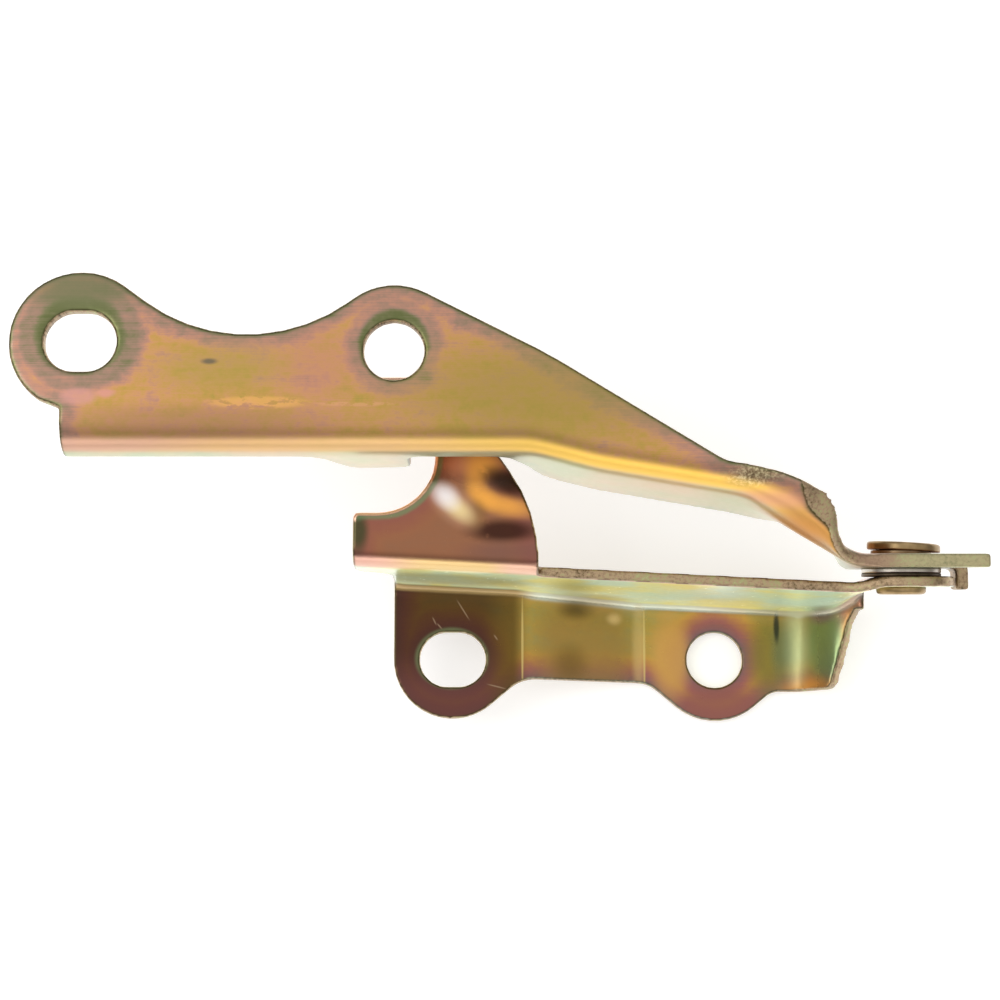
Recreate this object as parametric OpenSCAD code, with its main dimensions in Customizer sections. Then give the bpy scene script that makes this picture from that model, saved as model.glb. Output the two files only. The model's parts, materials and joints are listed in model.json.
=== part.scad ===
// Bonnet hinge: a bonnet arm that swings on a body bracket about one riveted pivot. Millimetres.
// X runs along the car towards the pivot, Y runs across the car and Z is up.
// The origin is the round bolt hole of the body bracket, on the face that meets the body.

/* [Bolt holes] */
// diameter of the round bolt hole in each pressing
bolt_hole_d = 11; // [9:0.1:12]
// width of the slot in the bonnet arm
arm_slot_w = 11.2; // [9:0.1:12]
// length of the slot in the bonnet arm
arm_slot_len = 13.2; // [12.2:0.1:15]
// width of the slot in the body bracket
foot_slot_w = 10.6; // [9:0.1:12]
// length of the slot in the body bracket
foot_slot_len = 12.8; // [12.2:0.1:15]

/* [Bonnet arm flange] */
// thickness of the arm's sheet
arm_t = 2.6; // [2:0.1:3.2]
// height of the face that meets the bonnet
arm_face_z = 52; // [49:0.5:56]
// radius inside the bend between flange and web
arm_bend_r = 3.7; // [3:0.1:5]
// place of the slot along the car
arm_slot_x = -119; // [-124:0.5:-115]
// place of the slot across the car
arm_slot_y = 52.9; // [51:0.1:55]
// radius of the flange round the slot
arm_slot_eye_r = 13; // [11:0.1:14.5]
// place of the round hole along the car
arm_hole_x = -62; // [-65:0.5:-59]
// place of the round hole across the car
arm_hole_y = 51.2; // [49:0.1:53]
// metal round the hole, from its centre to the outline
arm_hole_eye_r = 12.3; // [11:0.1:14]
// radius of the waist between the two eyes
waist_r = 31; // [24:0.5:33]
// fall of the flange's edge from the round hole towards the pivot
edge_fall = 27.2; // [26:0.1:28]

/* [Bonnet arm web] */
// place across the car of the web's outer face along the flange
arm_web_y = 32.8; // [31:0.1:34]
// left end of the bend
arm_end_x = -122.4; // [-124:0.1:-121]
// where the web first leans towards the pivot
arm_lean_x = -37; // [-40:0.5:-34]
// where the joggle down to the pivot starts
arm_joggle_x = 2.6; // [0:0.2:5]
// how far the web has moved across the car where the joggle starts
arm_lean_y = 7.6; // [6:0.1:9]
// lean of the web in the joggle, as across over down
joggle_lean = 0.32; // [0.16:0.02:0.36]
// middle radius of the rolled corner above the joggle
roll_r = 9; // [8:0.2:10]
// lowest point of the lobe that drops into the hook
lobe_z = 33.5; // [32:0.1:36]
// lower edge of the web between the hook and the pivot
arm_web_z = 28; // [26:0.2:31]
// radius of the arm round the pivot
arm_eye_r = 11.5; // [10.8:0.1:12.2]
// reach of the arm's top corner past the pivot
arm_nose = 14.8; // [14.4:0.1:15.6]

/* [Body bracket] */
// thickness of the bracket's sheet
brk_t = 2; // [1.6:0.1:2.4]
// place across the car of the web's outer face at the round hole
brk_web_y = 10.75; // [10:0.05:12]
// lean of the web in plan
brk_lean = 2.9; // [2:0.1:4]
// radius inside the bend between foot and web
foot_bend_r = 2; // [1.5:0.1:3]
// step from the right foot up to the left foot
foot_step = 10; // [7:0.5:12]
// distance between the bolt places of the two feet
foot_pitch = 52; // [49:0.5:55]
// radius of the right foot round its hole
foot_r = 12.1; // [10.5:0.1:13]
// radius of the left foot round its slot
foot_slot_r = 11.5; // [10.5:0.1:12.5]
// edge of the strip that joins the feet
foot_edge_y = -4.6; // [-6:0.1:-3]
// top edge of the web
brk_top_z = 32; // [30:0.2:32.5]
// top of the hook
hook_top_z = 36; // [35:0.2:37.5]
// radius of the bracket round the pivot
brk_eye_r = 10; // [9.4:0.1:10.2]
// steepness of the end panel
panel_angle = 43; // [38:1:47]

/* [Hook] */
// centre of the hook's mouth along the car
hook_x = -65.6; // [-67:0.1:-64]
// centre of the hook's mouth across the car
hook_y = 34.8; // [34:0.1:36]
// radius of the hook's mouth
hook_r = 10.6; // [9.5:0.1:11]
// width of the hook's upper lip
hook_lip = 5.2; // [4:0.1:7]
// drop of the hook's tip below its root
hook_dip = 3; // [1:0.1:4]

/* [Pivot] */
// place of the pivot along the car
pivot_x = 33.5; // [32.5:0.1:34.5]
// height of the pivot above the body's bolt face
pivot_z = 25; // [24:0.1:26]
// tilt of the pivot's axis, its bonnet end up
pivot_tilt = 7; // [4:0.5:9]
// diameter of the rivet's shank
rivet_d = 8; // [7:0.1:9]
// diameter of the rivet's head
head_d = 13.8; // [12.5:0.1:15]
// thickness of the rivet's head
head_h = 1.5; // [1:0.1:2.5]
// diameter of the rivet's closed end
tail_d = 9.4; // [9.2:0.1:11]
// height of the rivet's closed end
tail_h = 1.4; // [1:0.1:2]
// wall of the bush in the arm
bush_wall = 1; // [0.8:0.1:1.5]
// diameter of the bush's flange
bush_flange_d = 15; // [13:0.1:16]
// thickness of the bush's flange
bush_flange_t = 0.9; // [0.7:0.1:1.4]
// diameter of the thrust washer
thrust_d = 15; // [13:0.1:16]
// thickness of the thrust washer
thrust_t = 0.6; // [0.4:0.1:1]
// diameter of the washer under the rivet's head
head_washer_d = 11.4; // [11:0.1:13]
// thickness of the washer under the rivet's head
head_washer_t = 0.8; // [0.6:0.1:1.2]
// lengthwise room for each piece that turns
end_play = 0.04; // [0.02:0.01:0.1]
// radial room between rivet and bush
run_fit = 0.05; // [0.02:0.01:0.1]
// reach of the stop lug past the pivot
lug_reach = 13; // [12.9:0.1:13.4]
// length of the stop lug along the pivot
lug_len = 4; // [3:0.1:4.4]
// height of the stop lug
lug_h = 6; // [4:0.5:7]

/* [Hidden] */
// largest turn between two points of a rounded outline
arc_step = 9;
// a length beyond every outline
far = 60;
// places along the pivot's axis, from the middle of the bracket's eye outwards
thrust_w = brk_t / 2;
bush_w = thrust_w + thrust_t + end_play;
tab_w = bush_w + bush_flange_t;
head_washer_w = tab_w + arm_t + end_play;
head_w = head_washer_w + head_washer_t;
tail_w = -brk_t / 2;
// outer face of the bracket's eye at its top, the middle of the sheet there, and the middle at the pivot
eye_y = 10.3;
eye_top = pivot_z + brk_eye_r;
tilt = tan(pivot_tilt);
eye_line_y = eye_y + brk_t / 2 / cos(pivot_tilt);
pivot_y = eye_line_y + tilt * brk_eye_r;
// heights of the middle of the sheet
arm_mid_z = arm_face_z - arm_t / 2;
hook_mid_z = hook_top_z - brk_t / 2;
// middle radius of each bend
arm_mid_r = arm_bend_r + arm_t / 2;
foot_mid_r = foot_bend_r + brk_t / 2;
hook_mid_r = hook_mid_z - brk_top_z;
// place across the car of the slot in the left foot
foot_slot_y = -0.9;
// the gentle lean of the arm's web, the joggle's run, and the fall and turn of the rolled corner
lean_run = 12.4;
lean_drop = 3.1;
joggle_run = 20.2;
roll_fall = 3.5;
roll_turn = 80;
roll_end_turn = 12;
roll_z = arm_mid_z - roll_fall - roll_r * sin(roll_turn);
tab_top = pivot_z + arm_eye_r;
tab_line_y = pivot_y + (tab_w + arm_t / 2) / cos(pivot_tilt) - (roll_z - pivot_z) * tilt;
// the lug's bend, and how far its faces stay inside the arm's
lug_bend = arm_t + 0.8;
lug_inset = 0.05;
// top and foot of the ramp between the feet
ramp_x0 = -38.5;
ramp_x1 = -14;
// start and run of the end panel, and how far its edge lies outside the strip between the feet
panel_x = 17.3;
panel_run = 10.7;
panel_edge = 1.7;
// right end of the bracket below its eye
neck_x = pivot_x - 4.9;
// length of the feet before they are trimmed
foot_reach = 30;
// along the car from the centre of the hook's mouth: the hook's tip and its right edge
hook_tip = 4.6;
hook_width = 30;
// across the car from the same centre: where the right edge starts to curve in
hook_side = 10.3;
// along the car from the same centre: the arm's lobe, the notch beside it and the start of the deep web
lobe_root = -11;
lobe_tip = -5;
lobe_end = 6.2;
notch_end = 23.8;
web_start = 31;

function xy(p) = [p.x, p.y];
function unit(v) = v / norm(v);
function smooth(a, b, x, x0, x1) =
    let (k = min(1, max(0, (x - x0) / (x1 - x0))))
    a + (b - a) * k * k * (3 - 2 * k);

// the arc that rounds the corner b of the line a, b, c
function corner(a, b, c, r, step = arc_step) =
    let (u = unit(a - b), v = unit(c - b), half = acos(u * v) / 2)
    let (m = b + unit(u + v) * r / sin(half), p = b + u * r / tan(half), q = b + v * r / tan(half))
    let (a0 = atan2(p.y - m.y, p.x - m.x), d = atan2(q.y - m.y, q.x - m.x) - a0)
    let (turn = d > 180 ? d - 360 : d < -180 ? d + 360 : d, n = max(1, ceil(abs(turn) / step)))
    [for (k = [0:n]) m + r * [cos(a0 + turn * k / n), sin(a0 + turn * k / n)]];

// points of an arc round m, and the point where two lines cross, each through a point at an angle
function arc(m, r, a0, a1, step = arc_step) =
    let (n = max(1, ceil(abs(a1 - a0) / step)))
    [for (k = [0:n]) m + r * [cos(a0 + (a1 - a0) * k / n), sin(a0 + (a1 - a0) * k / n)]];
function meet(p, a, q, b) =
    let (w = q - p, u = [cos(a), sin(a)], v = [cos(b), sin(b)])
    p + u * (w.x * v.y - w.y * v.x) / (u.x * v.y - u.y * v.x);
// corners that are not rounded
function sharp(v) = [for (p = v) [p.x, p.y, 0]];

// a closed outline or an open line whose corners are [x, y, radius]
function rounded(v, closed = true, step = arc_step) =
    let (n = len(v))
    [for (i = [0:n - 1])
        each v[i][2] == 0 || (!closed && (i == 0 || i == n - 1)) ? [xy(v[i])]
            : corner(xy(v[(i + n - 1) % n]), xy(v[i]), xy(v[(i + 1) % n]), v[i][2], step)];

// a list of numbers in order, without near repeats
function sorted(v) =
    len(v) < 2 ? v
        : let (p = v[floor(len(v) / 2)])
          concat(sorted([for (x = v) if (x < p - 0.2) x]), [p], sorted([for (x = v) if (x > p + 0.2) x]));

// height of a line given as points, and its slope, at x
function at(line, x) = lookup(x, line);
function slope(line, x) = (at(line, x + 1) - at(line, x - 1)) / 2;
// the gentler of the slopes on the two sides of x
function least_slope(line, x) =
    min(abs(at(line, x + 0.02) - at(line, x)), abs(at(line, x) - at(line, x - 0.02))) / 0.02;

// a formed sheet: at each x of the plan line a section of
// [across, up, direction, thickness factor, run along Y], where the last may be left out
module formed_sheet(line, xs, sections, t) {
    n = len(xs);
    m = len(sections[0]);
    function skin(h) = [for (i = [0:n - 1]) let (b = atan(slope(line, xs[i]))) each [for (s = sections[i])
        let (o = s[0] - h * s[3] * sin(s[2]), z = s[1] + h * s[3] * cos(s[2]))
        [xs[i] - o * sin(b), at(line, xs[i]) + o * cos(b) + (len(s) > 4 ? s[4] : 0), z]]];
    function quad(a, b, c, d) = [[a, c, b], [a, d, c]];
    k = n * m;
    polyhedron(concat(skin(t / 2), skin(-t / 2)), concat(
        [for (i = [0:n - 2], j = [0:m - 2]) let (a = i * m + j)
            each concat(quad(a, a + m, a + m + 1, a + 1), quad(k + a, k + a + 1, k + a + m + 1, k + a + m))],
        [for (i = [0:n - 2]) let (a = i * m, e = a + m - 1)
            each concat(quad(a, k + a, k + a + m, a + m), quad(e, e + m, k + e + m, k + e))],
        [for (j = [0:m - 2]) let (e = (n - 1) * m + j)
            each concat(quad(j, j + 1, k + j + 1, k + j), quad(e, k + e, k + e + 1, e + 1))]));
}

// a shape drawn in X and Z, run along Y from y0 to y1
module side(y0, y1) {
    translate([0, y1, 0])
        rotate([90, 0, 0])
            linear_extrude(y1 - y0)
                children();
}

// the pivot's own frame: Y along its axis, from the middle of the bracket's eye
module on_pivot() {
    translate([pivot_x, pivot_y, pivot_z])
        rotate([pivot_tilt, 0, 0])
            children();
}

// a turned piece on the pivot: its outline is radius against place along the axis
module turned() {
    on_pivot()
        rotate([-90, 0, 0])
            rotate_extrude($fn = 72)
                children();
}

module pivot_bore(d, w0, w1) {
    on_pivot()
        translate([0, w0, 0])
            rotate([-90, 0, 0])
                cylinder(d = d, h = w1 - w0, $fn = 72);
}

module slot(x, y, w, len, z0, z1) {
    reach = [(len - w) / 2, 0];
    translate([x, y, z0])
        linear_extrude(z1 - z0)
            polygon(concat(arc(reach, w / 2, -90, 90, 5), arc(-reach, w / 2, 90, 270, 5)));
}

// Bonnet arm

// plan of the middle of the arm's web, at the height where its upper corner begins to roll over
web_mid_y = arm_web_y + arm_t / 2;
arm_line = rounded([
    [-far * 3, web_mid_y, 0],
    [arm_lean_x, web_mid_y, 15],
    [arm_lean_x + lean_run, web_mid_y - lean_drop, 25],
    [arm_joggle_x, web_mid_y - arm_lean_y, 8],
    [arm_joggle_x + joggle_run, tab_line_y, 8],
    [far * 2, tab_line_y, 0]], closed = false, step = 4);

// in the joggle the web's lower part lags behind, and at the pivot it is square to the axis
function lag(x) =
    x < arm_joggle_x + 12 ? smooth(0, joggle_lean, x, arm_joggle_x - 1, arm_joggle_x + 12)
        : smooth(joggle_lean, tilt, x, arm_joggle_x + 12, arm_joggle_x + 23);

// towards the pivot the flange narrows, then rolls down and opens into the web
function arm_section(x) =
    let (r = smooth(arm_mid_r, roll_r, x, arm_joggle_x - 1, arm_joggle_x + 10))
    let (full = smooth(90, roll_turn, x, arm_joggle_x - 7, arm_joggle_x + 1))
    let (top = arm_mid_z - smooth(0, roll_fall, x, arm_joggle_x - 6, arm_joggle_x + 14))
    let (start = top - r * sin(full), foot = pivot_z - arm_eye_r - 3, lean = lag(x))
    let (turn = smooth(full, roll_end_turn, x, arm_joggle_x + 13, arm_joggle_x + 19.5))
    let (flat = smooth(45, 0.6, x, arm_lean_x, arm_joggle_x - 6))
    concat(
        [for (k = [0:4]) let (down = (start - foot) * (1 - k / 4) + 1.5 * k / 4)
            [lean * down, start - down, 90 + atan(lean), 1]],
        [[0, start, 90, 1]],
        [for (k = [1:9]) let (a = turn * k / 9) [r * (1 - cos(a)), start + r * sin(a), 90 - a, 1]],
        [[r * (1 - cos(turn)), start + r * sin(turn) + flat * cos(turn), 90 - turn, 1, flat * sin(turn)]]);

arm_xs = sorted(concat(
    [arm_slot_x - arm_slot_eye_r - 2, arm_lean_x - 8, arm_joggle_x - 15],
    [arm_joggle_x + 26, pivot_x + arm_nose + 3],
    [for (p = arm_line) if (p.x > arm_end_x && p.x < pivot_x) p.x],
    [for (k = [0:18]) arm_joggle_x - 9 + k * 1.8]));

// outline of the flange seen from above, open towards the pivot
module arm_plan() {
    slot_at = [arm_slot_x, arm_slot_y];
    hole_at = [arm_hole_x, arm_hole_y];
    steep = 36.5;
    eye = arc(slot_at, arm_slot_eye_r, 236, 90 - steep);
    rim = arc(hole_at, arm_hole_eye_r, 90 + steep, 90 - edge_fall);
    waist = meet(eye[len(eye) - 1], -steep, rim[0], steep);
    edge = [arm_joggle_x - 4.8, arm_web_y - 1.8];
    kink = meet(rim[len(rim) - 1], -edge_fall, edge, 148.3);
    polygon(rounded(concat(
        sharp([[arm_end_x, -far], [arm_end_x, eye[0].y - 1.5]]),
        sharp(eye),
        [[waist.x, waist.y, waist_r]],
        sharp(rim),
        [[kink.x, kink.y, 60], [edge.x, edge.y, 6]],
        [[edge.x + 9.7, edge.y - 1.4, 15], [edge.x + 19, edge.y - 4.6, 6]],
        sharp([[far, edge.y - 4.6], [far, -far]]))));
}

// outline of the arm seen from the side, open upwards
module arm_side() {
    web_top = arm_face_z - arm_bend_r - arm_t - 1;
    nose = pivot_x + arm_nose;
    horn = tab_top - 2.1;
    eye_foot = pivot_z - arm_eye_r;
    lug_root = pivot_x + lug_reach - lug_bend;
    polygon(rounded([
        [-far * 3, far * 2, 0],
        [-far * 3, web_top, 0],
        [hook_x + lobe_root, web_top, 6],
        [hook_x + lobe_tip, lobe_z, 4],
        [hook_x + lobe_end, lobe_z + 1.2, 2],
        [hook_x + lobe_end, web_top, 2.5],
        [hook_x + notch_end, web_top, 4],
        [hook_x + web_start, arm_web_z + 0.5, 5],
        [arm_joggle_x, arm_web_z - 1, 12],
        [pivot_x - arm_eye_r + 2, eye_foot, 9],
        [pivot_x + 2.5, eye_foot, 8],
        [lug_root, pivot_z - lug_h - 0.8, 0],
        [lug_root, horn - 2.6, 1.5],
        [nose, horn, 0.8],
        [nose, far * 2, 0]]));
}

// what is sheared off the rolled corner and the tab, square to the joggle: [along, height]
module run_out() {
    turn = atan(slope(arm_line, arm_joggle_x + 10));
    translate([arm_joggle_x + 10, at(arm_line, arm_joggle_x + 10), 0])
        rotate([0, 0, turn])
            side(-far, far)
                polygon(rounded([
                    [-8.5, arm_face_z + 1, 0],
                    [-0.3, arm_face_z - 5.4, 6],
                    [4.7, arm_face_z - 6.8, 4],
                    [10, tab_top + 1.9, 4],
                    [15, tab_top, 8],
                    [far, tab_top, 0],
                    [far, far * 2, 0],
                    [-8.5, far * 2, 0]]));
}

// the stop lug: the arm's end turned towards the bracket
module stop_lug() {
    m = [lug_reach - lug_bend, tab_w + arm_t - lug_bend];
    root = m.x - 0.6;
    near = tab_w + lug_inset;
    away = tab_w + arm_t - lug_inset;
    on_pivot()
        translate([0, 0, -lug_h])
            linear_extrude(lug_h)
                polygon(concat(
                    [[root, near]],
                    arc(m, lug_bend - arm_t + lug_inset, 90, 0),
                    [[lug_reach - arm_t + lug_inset, tab_w - lug_len], [lug_reach - lug_inset, tab_w - lug_len]],
                    arc(m, lug_bend - lug_inset, 0, 90),
                    [[root, away]]));
}

module bonnet_arm() {
    color("goldenrod")
        difference() {
            union() {
                intersection() {
                    formed_sheet(arm_line, arm_xs, [for (x = arm_xs) arm_section(x)], arm_t);
                    translate([0, 0, -20])
                        linear_extrude(100)
                            arm_plan();
                    side(-far, far * 2)
                        arm_side();
                }
                stop_lug();
            }
            run_out();
            translate([arm_hole_x, arm_hole_y, arm_face_z - 10])
                cylinder(d = bolt_hole_d, h = 20, $fn = 72);
            slot(arm_slot_x, arm_slot_y, arm_slot_w, arm_slot_len, arm_face_z - 10, arm_face_z + 10);
            pivot_bore(rivet_d + 2 * (run_fit + bush_wall), tab_w - 1, tab_w + arm_t + 1);
        }
}

// Body bracket

brk_slope = tan(brk_lean);
function web_mid(x) = brk_web_y + brk_t / 2 / cos(brk_lean) - brk_slope * x;

// plan of the middle of the bracket's web at the height of the eye's top, with the joggle up to the eye
brk_line = rounded([
    [-far * 3, web_mid(-far * 3), 0],
    [pivot_x - 9, web_mid(pivot_x - 9), 6],
    [pivot_x - 4.5, eye_line_y, 5],
    [far * 2, eye_line_y, 0]], closed = false);

// heights of the middle of the feet: left foot, ramp, right foot and the end panel
panel_rise = panel_run * tan(panel_angle);
foot_line = rounded([
    [-far * 3, foot_step + brk_t / 2, 0],
    [ramp_x0, foot_step + brk_t / 2, 6],
    [ramp_x1, brk_t / 2, 6],
    [panel_x, brk_t / 2, 4],
    [panel_x + panel_run, panel_rise + brk_t / 2, 1],
    [far * 2, panel_rise + brk_t / 2, 0]], closed = false);

// foot, bend, web, hook bend and hook; near the pivot the web leans until it is square to the axis
function brk_section(x) =
    let (f = at(foot_line, x), k = sqrt(1 + pow(least_slope(foot_line, x), 2)), r = foot_mid_r)
    let (lean = smooth(0, tilt, x, pivot_x - 12, pivot_x - 4.5), over = atan(lean), full = 90 + over)
    let (shift = lean * (eye_top - f - r * (1 - cos(full))) - r * (sin(full) - 1))
    let (out = hook_y + hook_r + hook_lip + 4 - web_mid(hook_x))
    let (roll = pow(out - hook_mid_r, 2) / hook_dip / 2)
    let (top = x > hook_x + hook_width + 1 ? hook_mid_z + 12 : hook_mid_z)
    let (back = lean * (eye_top - top + hook_mid_r))
    concat([[shift - foot_reach, f, 0, k]],
        [for (j = [0:6]) let (a = full * j / 6)
            [shift + r * (sin(a) - 1), f + r * (1 - cos(a)), a, k + (1 - k) * j / 6]],
        [for (j = [0:6]) let (a = j * 15)
            [back + hook_mid_r * (1 - cos(a)), top - hook_mid_r * (1 - sin(a)), 90 - a + over * (1 - j / 6), 1]],
        [for (j = [1:8]) let (s = (out - hook_mid_r) * j / 8)
            [back + hook_mid_r + s, top - s * s / roll / 2, -atan(s / roll), 1]]);

brk_xs = sorted(concat(
    [hook_x - 12, hook_x + hook_width + 0.6, hook_x + hook_width + 2, pivot_x, pivot_x + brk_eye_r + 2],
    [for (p = brk_line) if (abs(p.x) < far) p.x],
    [for (p = foot_line) if (abs(p.x) < far) p.x],
    [for (k = [0:6]) pivot_x - 12 + k * 1.25]));

// outline of both feet seen from above
module foot_plan() {
    steep = 40;
    slot_foot = arc([-foot_pitch, foot_slot_y], foot_slot_r, 180, 270 + steep);
    round_foot = arc([0, 0], foot_r, 270 - steep, 270 + steep);
    last = len(slot_foot) - 1;
    edge = [0, foot_edge_y];
    a = meet(slot_foot[last], steep, edge, 0);
    b = meet(round_foot[0], -steep, edge, 0);
    c = meet(round_foot[len(round_foot) - 1], steep, edge - [0, panel_edge], 0);
    polygon(rounded(concat(
        sharp([[slot_foot[0].x, 20]]),
        sharp(slot_foot),
        [[a.x, a.y, 8], [b.x, b.y, 6]],
        sharp(round_foot),
        [[c.x, c.y, 4]],
        sharp([[neck_x + 4, c.y], [neck_x + 4, 20]]))));
}

// what is cut off the end panel, square to it: [along the panel, across the car]
module panel_end() {
    tip = panel_run / cos(panel_angle) + 1.4;
    translate([panel_x, 0, brk_t / 2])
        rotate([0, -panel_angle, 0])
            translate([0, 0, -8])
                linear_extrude(16)
                    difference() {
                        translate([1.5, -30])
                            square([30, 39]);
                        polygon(rounded([
                            [-5, foot_edge_y - panel_edge - 0.2, 0],
                            [tip - 8.2, foot_edge_y - panel_edge - 0.2, 2.5],
                            [tip - 4.1, 6.6, 5],
                            [tip, 12, 0],
                            [-5, 12, 0]]));
                    }
}

// outline of the bracket seen from the side: left end, top edge, eye and neck
module brk_side() {
    left = -foot_pitch - foot_slot_r;
    tip = hook_x - hook_tip;
    right = hook_x + hook_width;
    eye = arc([pivot_x, pivot_z], brk_eye_r, 105, -90);
    neck = meet(eye[0], 15, [0, brk_top_z], 0);
    polygon(rounded(concat(
        [[left, -far, 0], [left, brk_top_z - 7, 4], [tip, brk_top_z - 5, 2], [tip, far, 0]],
        [[right, far, 0], [right, brk_top_z, 1.5], [neck.x, neck.y, 8]],
        sharp(eye),
        [[neck_x, pivot_z - brk_eye_r, 2], [neck_x, -far, 0]])));
}

// outline of the hook seen from above
module hook_plan() {
    top = hook_y + hook_r + hook_lip;
    right = hook_x + hook_width;
    tip = hook_x - hook_tip;
    mouth = arc([hook_x, hook_y], hook_r, 90, -90);
    shoulder = meet([right, hook_y - hook_side], 125, [0, top], 0);
    polygon(rounded(concat(
        [[tip, -far, 0], [right, -far, 0], [right, hook_y - hook_side, 30], [shoulder.x, shoulder.y, 13]],
        [[tip, top, 2.4], [tip, hook_y + hook_r, 1.6]],
        sharp(mouth),
        [[tip, hook_y - hook_r, 1]])));
}

module body_bracket() {
    color("darkkhaki")
        difference() {
            intersection() {
                formed_sheet(brk_line, brk_xs, [for (x = brk_xs) brk_section(x)], brk_t);
                side(-far, far * 2)
                    brk_side();
            }
            translate([0, 0, -20])
                linear_extrude(20 + 22)
                    difference() {
                        translate([-far * 2, -far])
                            square([far * 4, far + 8]);
                        foot_plan();
                    }
            panel_end();
            translate([0, 0, brk_top_z - 8])
                linear_extrude(28)
                    difference() {
                        translate([-far * 2, web_mid(hook_x) + 2])
                            square([far * 2 + hook_x + hook_width + 10, far]);
                        hook_plan();
                    }
            cylinder(d = bolt_hole_d, h = 40, center = true, $fn = 72);
            slot(-foot_pitch, foot_slot_y, foot_slot_w, foot_slot_len, foot_step - 8, foot_step + 8);
            pivot_bore(rivet_d, -brk_t, brk_t);
        }
}

// Pieces on the pivot

module pivot_rivet() {
    color("peru")
        turned()
            polygon([
                [0, tail_w - tail_h],
                [tail_d / 2 - 1, tail_w - tail_h],
                [tail_d / 2, tail_w - tail_h + 0.6],
                [tail_d / 2, tail_w],
                [rivet_d / 2, tail_w],
                [rivet_d / 2, head_w],
                [head_d / 2, head_w],
                [head_d / 2, head_w + head_h - 0.5],
                [head_d / 2 - 0.6, head_w + head_h],
                [0, head_w + head_h]]);
}

module pivot_bush() {
    bore = rivet_d / 2 + run_fit;
    color("silver")
        turned()
            polygon([
                [bore, bush_w],
                [bush_flange_d / 2, bush_w],
                [bush_flange_d / 2, tab_w],
                [bore + bush_wall, tab_w],
                [bore + bush_wall, tab_w + arm_t],
                [bore, tab_w + arm_t]]);
}

module ring(d, bore, w, t) {
    turned()
        translate([bore / 2, w])
            square([(d - bore) / 2, t]);
}

module thrust_washer() {
    color("dimgray")
        ring(thrust_d, rivet_d, thrust_w, thrust_t);
}

module head_washer() {
    color("gray")
        ring(head_washer_d, rivet_d, head_washer_w, head_washer_t);
}

body_bracket();
bonnet_arm();
pivot_rivet();
pivot_bush();
thrust_washer();
head_washer();
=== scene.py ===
import json
import math

import bmesh
import bpy
import numpy as np
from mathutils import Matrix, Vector, kdtree
from mathutils.bvhtree import BVHTree


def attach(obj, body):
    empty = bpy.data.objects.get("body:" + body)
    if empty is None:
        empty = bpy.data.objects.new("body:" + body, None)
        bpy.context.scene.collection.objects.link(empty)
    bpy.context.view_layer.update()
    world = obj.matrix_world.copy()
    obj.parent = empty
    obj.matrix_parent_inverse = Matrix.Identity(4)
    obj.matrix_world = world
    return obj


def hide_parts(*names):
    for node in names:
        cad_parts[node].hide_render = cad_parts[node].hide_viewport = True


# The bonnet hinge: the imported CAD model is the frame, and six pieces stand for its six solids.
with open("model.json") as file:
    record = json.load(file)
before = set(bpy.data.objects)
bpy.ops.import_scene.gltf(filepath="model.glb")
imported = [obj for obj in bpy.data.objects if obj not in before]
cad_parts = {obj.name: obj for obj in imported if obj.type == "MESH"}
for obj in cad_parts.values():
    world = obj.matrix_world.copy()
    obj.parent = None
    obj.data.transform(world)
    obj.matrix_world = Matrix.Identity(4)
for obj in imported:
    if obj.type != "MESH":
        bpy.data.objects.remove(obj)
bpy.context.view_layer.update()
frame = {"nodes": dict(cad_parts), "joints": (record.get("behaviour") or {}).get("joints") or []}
scene = bpy.context.scene
MM = 0.001

# Camera: the photograph's view, looking down and a little towards +Y.
FRAME_PX = 1000
FOCAL_PX = 2198.95
SENSOR = 36.0
TILT = math.radians(10)
DISTANCE = 420 * MM
LOOK_AT = Vector((-42.778, 28.184, 26)) * MM

camera_data = bpy.data.cameras.new("camera")
camera_data.sensor_width = SENSOR
camera_data.lens = FOCAL_PX / FRAME_PX * SENSOR
camera_data.clip_start = 10 * MM
camera_data.clip_end = 20
camera = bpy.data.objects.new("camera", camera_data)
scene.collection.objects.link(camera)
forward = Vector((0, math.sin(TILT), -math.cos(TILT)))
camera.location = LOOK_AT - forward * DISTANCE
camera.rotation_euler = (TILT, 0, 0)
scene.camera = camera
scene.view_settings.view_transform = "Standard"


# Shader helpers.
def rgb(red, green, blue):
    """A linear colour from sRGB values of 0 to 255."""
    def linear(value):
        value /= 255
        return value / 12.92 if value <= 0.04045 else ((value + 0.055) / 1.055) ** 2.4
    return (linear(red), linear(green), linear(blue), 1)


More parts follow.
